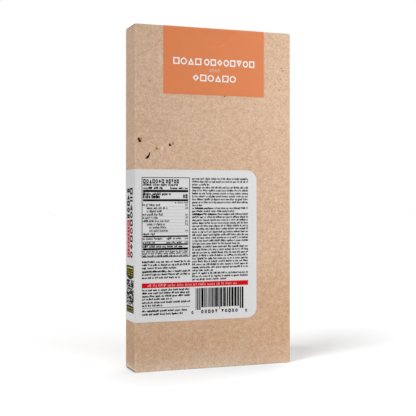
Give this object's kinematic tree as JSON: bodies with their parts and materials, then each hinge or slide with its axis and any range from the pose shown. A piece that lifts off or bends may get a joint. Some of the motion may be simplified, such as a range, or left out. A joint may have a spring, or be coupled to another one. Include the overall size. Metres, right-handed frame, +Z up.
{
  "type": "boxed chocolate bar",
  "caption": "Tall flat tuck-end carton of brown kraft board for a chocolate bar, standing on end, with a paper seal over the top closure and a wrap-round paper label on one side.",
  "frame": {"origin": "under the middle of the carton, on the surface it stands on", "axes": "+X across the front panel towards its right edge, +Y from the labelled front panel to the back panel, +Z up along the carton's length"},
  "size_m": [0.0805, 0.0162, 0.1641],
  "materials": {
    "kraft_board": "matt, unprinted brown recycled board with fibres and dark specks",
    "orange_paper": "satin, printed orange with a row of pale shapes",
    "white_paper": "satin, white with rows of small dark marks, rules, a red band and stripes"
  },
  "bodies": {
    "root": {"carton": "kraft_board", "seal_label": "orange_paper", "info_label": "white_paper"}
  },
  "joints": []
}
